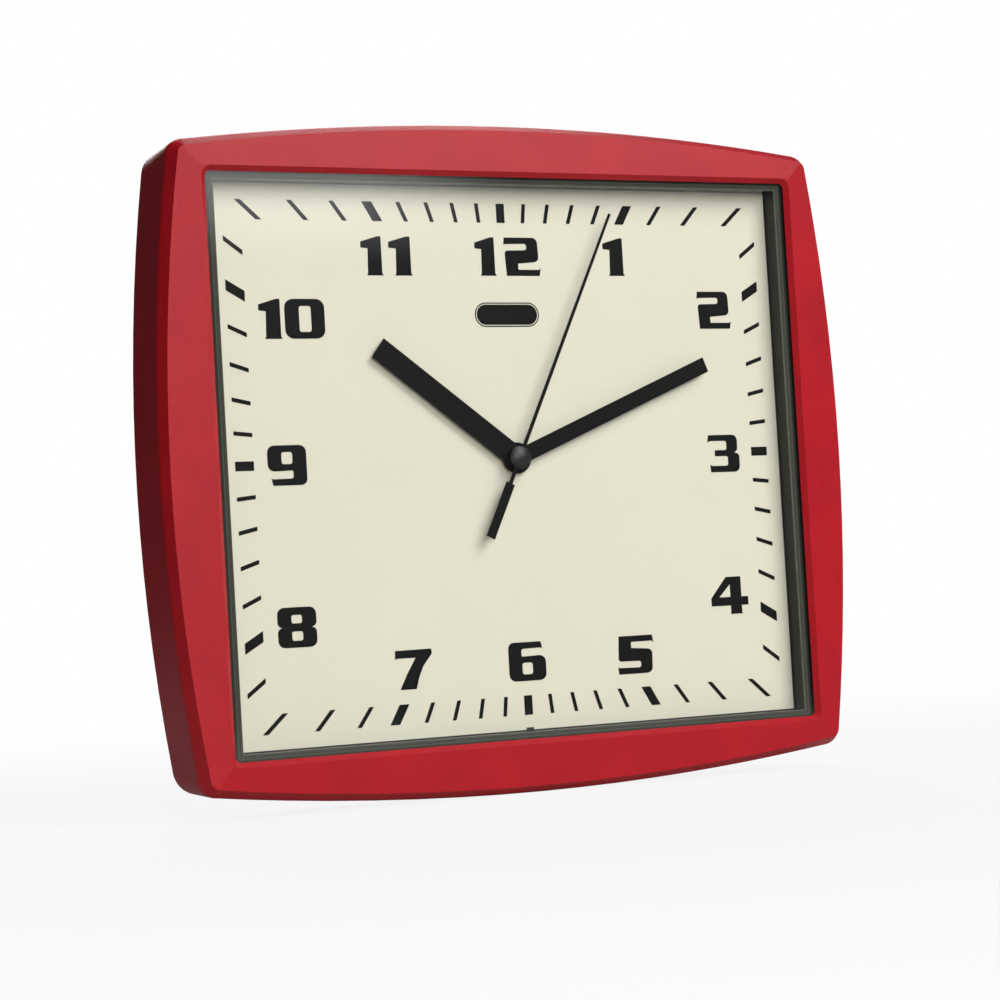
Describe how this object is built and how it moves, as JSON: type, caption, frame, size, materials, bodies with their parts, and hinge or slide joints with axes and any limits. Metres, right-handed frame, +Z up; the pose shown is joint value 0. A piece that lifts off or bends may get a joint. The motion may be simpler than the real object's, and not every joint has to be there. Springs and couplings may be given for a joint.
{
  "type": "wall clock",
  "caption": "Square-dialled quartz wall clock: red bowed moulded case, flat lens, cream dial, baton hands, battery movement with its gear train, and a keyhole in the back cover to hang it.",
  "frame": {"origin": "centre of the hanging hole on the rear face of the back cover", "axes": "+X to the right as seen by a viewer in front, +Y into the wall, +Z up"},
  "size_m": [0.3084, 0.033, 0.268],
  "materials": {
    "red_abs": "satin moulded ABS",
    "clear_pane": "clear polished polystyrene",
    "smoke_clear": "smoke-clear moulded polystyrene",
    "cream_dial": "matt cream print",
    "black_abs": "fine-textured moulded ABS",
    "zinc_steel": "zinc plated",
    "movement_black": "satin moulded",
    "gear_acetal": "moulded acetal",
    "ferrite": "sintered magnet",
    "knob_plastic": "moulded",
    "core_steel": "pressed soft iron",
    "copper_wire": "enamelled copper wire",
    "board_green": "coated board",
    "chip_resin": "potting resin",
    "contact_steel": "nickel plated",
    "cell_sleeve": "printed sleeve, bare of words",
    "black_rubber": "plain",
    "brass_plain": "turned brass",
    "black_paint": "satin black paint",
    "black_gloss": "moulded"
  },
  "bodies": {
    "case": {"front_case": "red_abs", "lens": "clear_pane", "dial_ring": "smoke_clear", "dial_plate": "cream_dial", "back_cover": "black_abs", "case_screws": "zinc_steel", "movement_base": "movement_black", "movement_cover": "movement_black", "train_bridge": "gear_acetal", "stator": "core_steel", "coil_core": "core_steel", "coil_bobbin": "gear_acetal", "coil_winding": "copper_wire", "circuit_board": "board_green", "chip": "chip_resin", "crystal_can": "zinc_steel", "positive_contact": "contact_steel", "negative_contact": "contact_steel", "gasket": "black_rubber", "washer": "brass_plain", "hex_nut": "brass_plain"},
    "minute": {"centre_wheel": "gear_acetal", "minute_hand": "black_paint"},
    "hour": {"hour_wheel": "gear_acetal", "hour_hand": "black_paint"},
    "seconds": {"seconds_wheel": "gear_acetal", "second_hand": "black_paint", "hand_cap": "black_gloss"},
    "third": {"third_wheel": "gear_acetal"},
    "fifth": {"fifth_wheel": "gear_acetal"},
    "rotor": {"rotor_pinion": "gear_acetal", "rotor_magnet": "ferrite"},
    "motion": {"motion_wheel": "gear_acetal"},
    "knob": {"setting_knob": "knob_plastic"},
    "battery": {"battery": "cell_sleeve"}
  },
  "joints": [
    {"name": "minute_turn", "type": "hinge", "parent": "case", "child": "minute", "pos_m": [0, -0.0184, -0.084], "axis": [0, 1, 0], "continuous": true},
    {"name": "hour_turn", "type": "hinge", "parent": "case", "child": "hour", "pos_m": [0, -0.0184, -0.084], "axis": [0, 1, 0], "continuous": true},
    {"name": "seconds_turn", "type": "hinge", "parent": "case", "child": "seconds", "pos_m": [0, -0.0184, -0.084], "axis": [0, 1, 0], "continuous": true},
    {"name": "third_turn", "type": "hinge", "parent": "case", "child": "third", "pos_m": [0.00883, -0.008, -0.0789], "axis": [0, 1, 0], "continuous": true},
    {"name": "fifth_turn", "type": "hinge", "parent": "case", "child": "fifth", "pos_m": [-0.01015, -0.008, -0.08769], "axis": [0, 1, 0], "continuous": true},
    {"name": "rotor_turn", "type": "hinge", "parent": "case", "child": "rotor", "pos_m": [-0.01459, -0.008, -0.07818], "axis": [0, 1, 0], "continuous": true},
    {"name": "motion_turn", "type": "hinge", "parent": "case", "child": "motion", "pos_m": [0.00578, -0.008, -0.09226], "axis": [0, 1, 0], "continuous": true},
    {"name": "knob_turn", "type": "hinge", "parent": "case", "child": "knob", "pos_m": [0.01552, -0.008, -0.09487], "axis": [0, 1, 0], "continuous": true},
    {"name": "battery_slide", "type": "slide", "parent": "case", "child": "battery", "axis": [0, 1, 0], "range_m": [0, 0.025]}
  ],
  "couplings": [
    {"joint": "hour_turn", "follows": "minute_turn", "ratio": 0.083333},
    {"joint": "seconds_turn", "follows": "minute_turn", "ratio": 60},
    {"joint": "third_turn", "follows": "minute_turn", "ratio": -8},
    {"joint": "fifth_turn", "follows": "minute_turn", "ratio": -300},
    {"joint": "rotor_turn", "follows": "minute_turn", "ratio": 1800},
    {"joint": "motion_turn", "follows": "minute_turn", "ratio": -0.33333},
    {"joint": "knob_turn", "follows": "minute_turn", "ratio": 1}
  ]
}
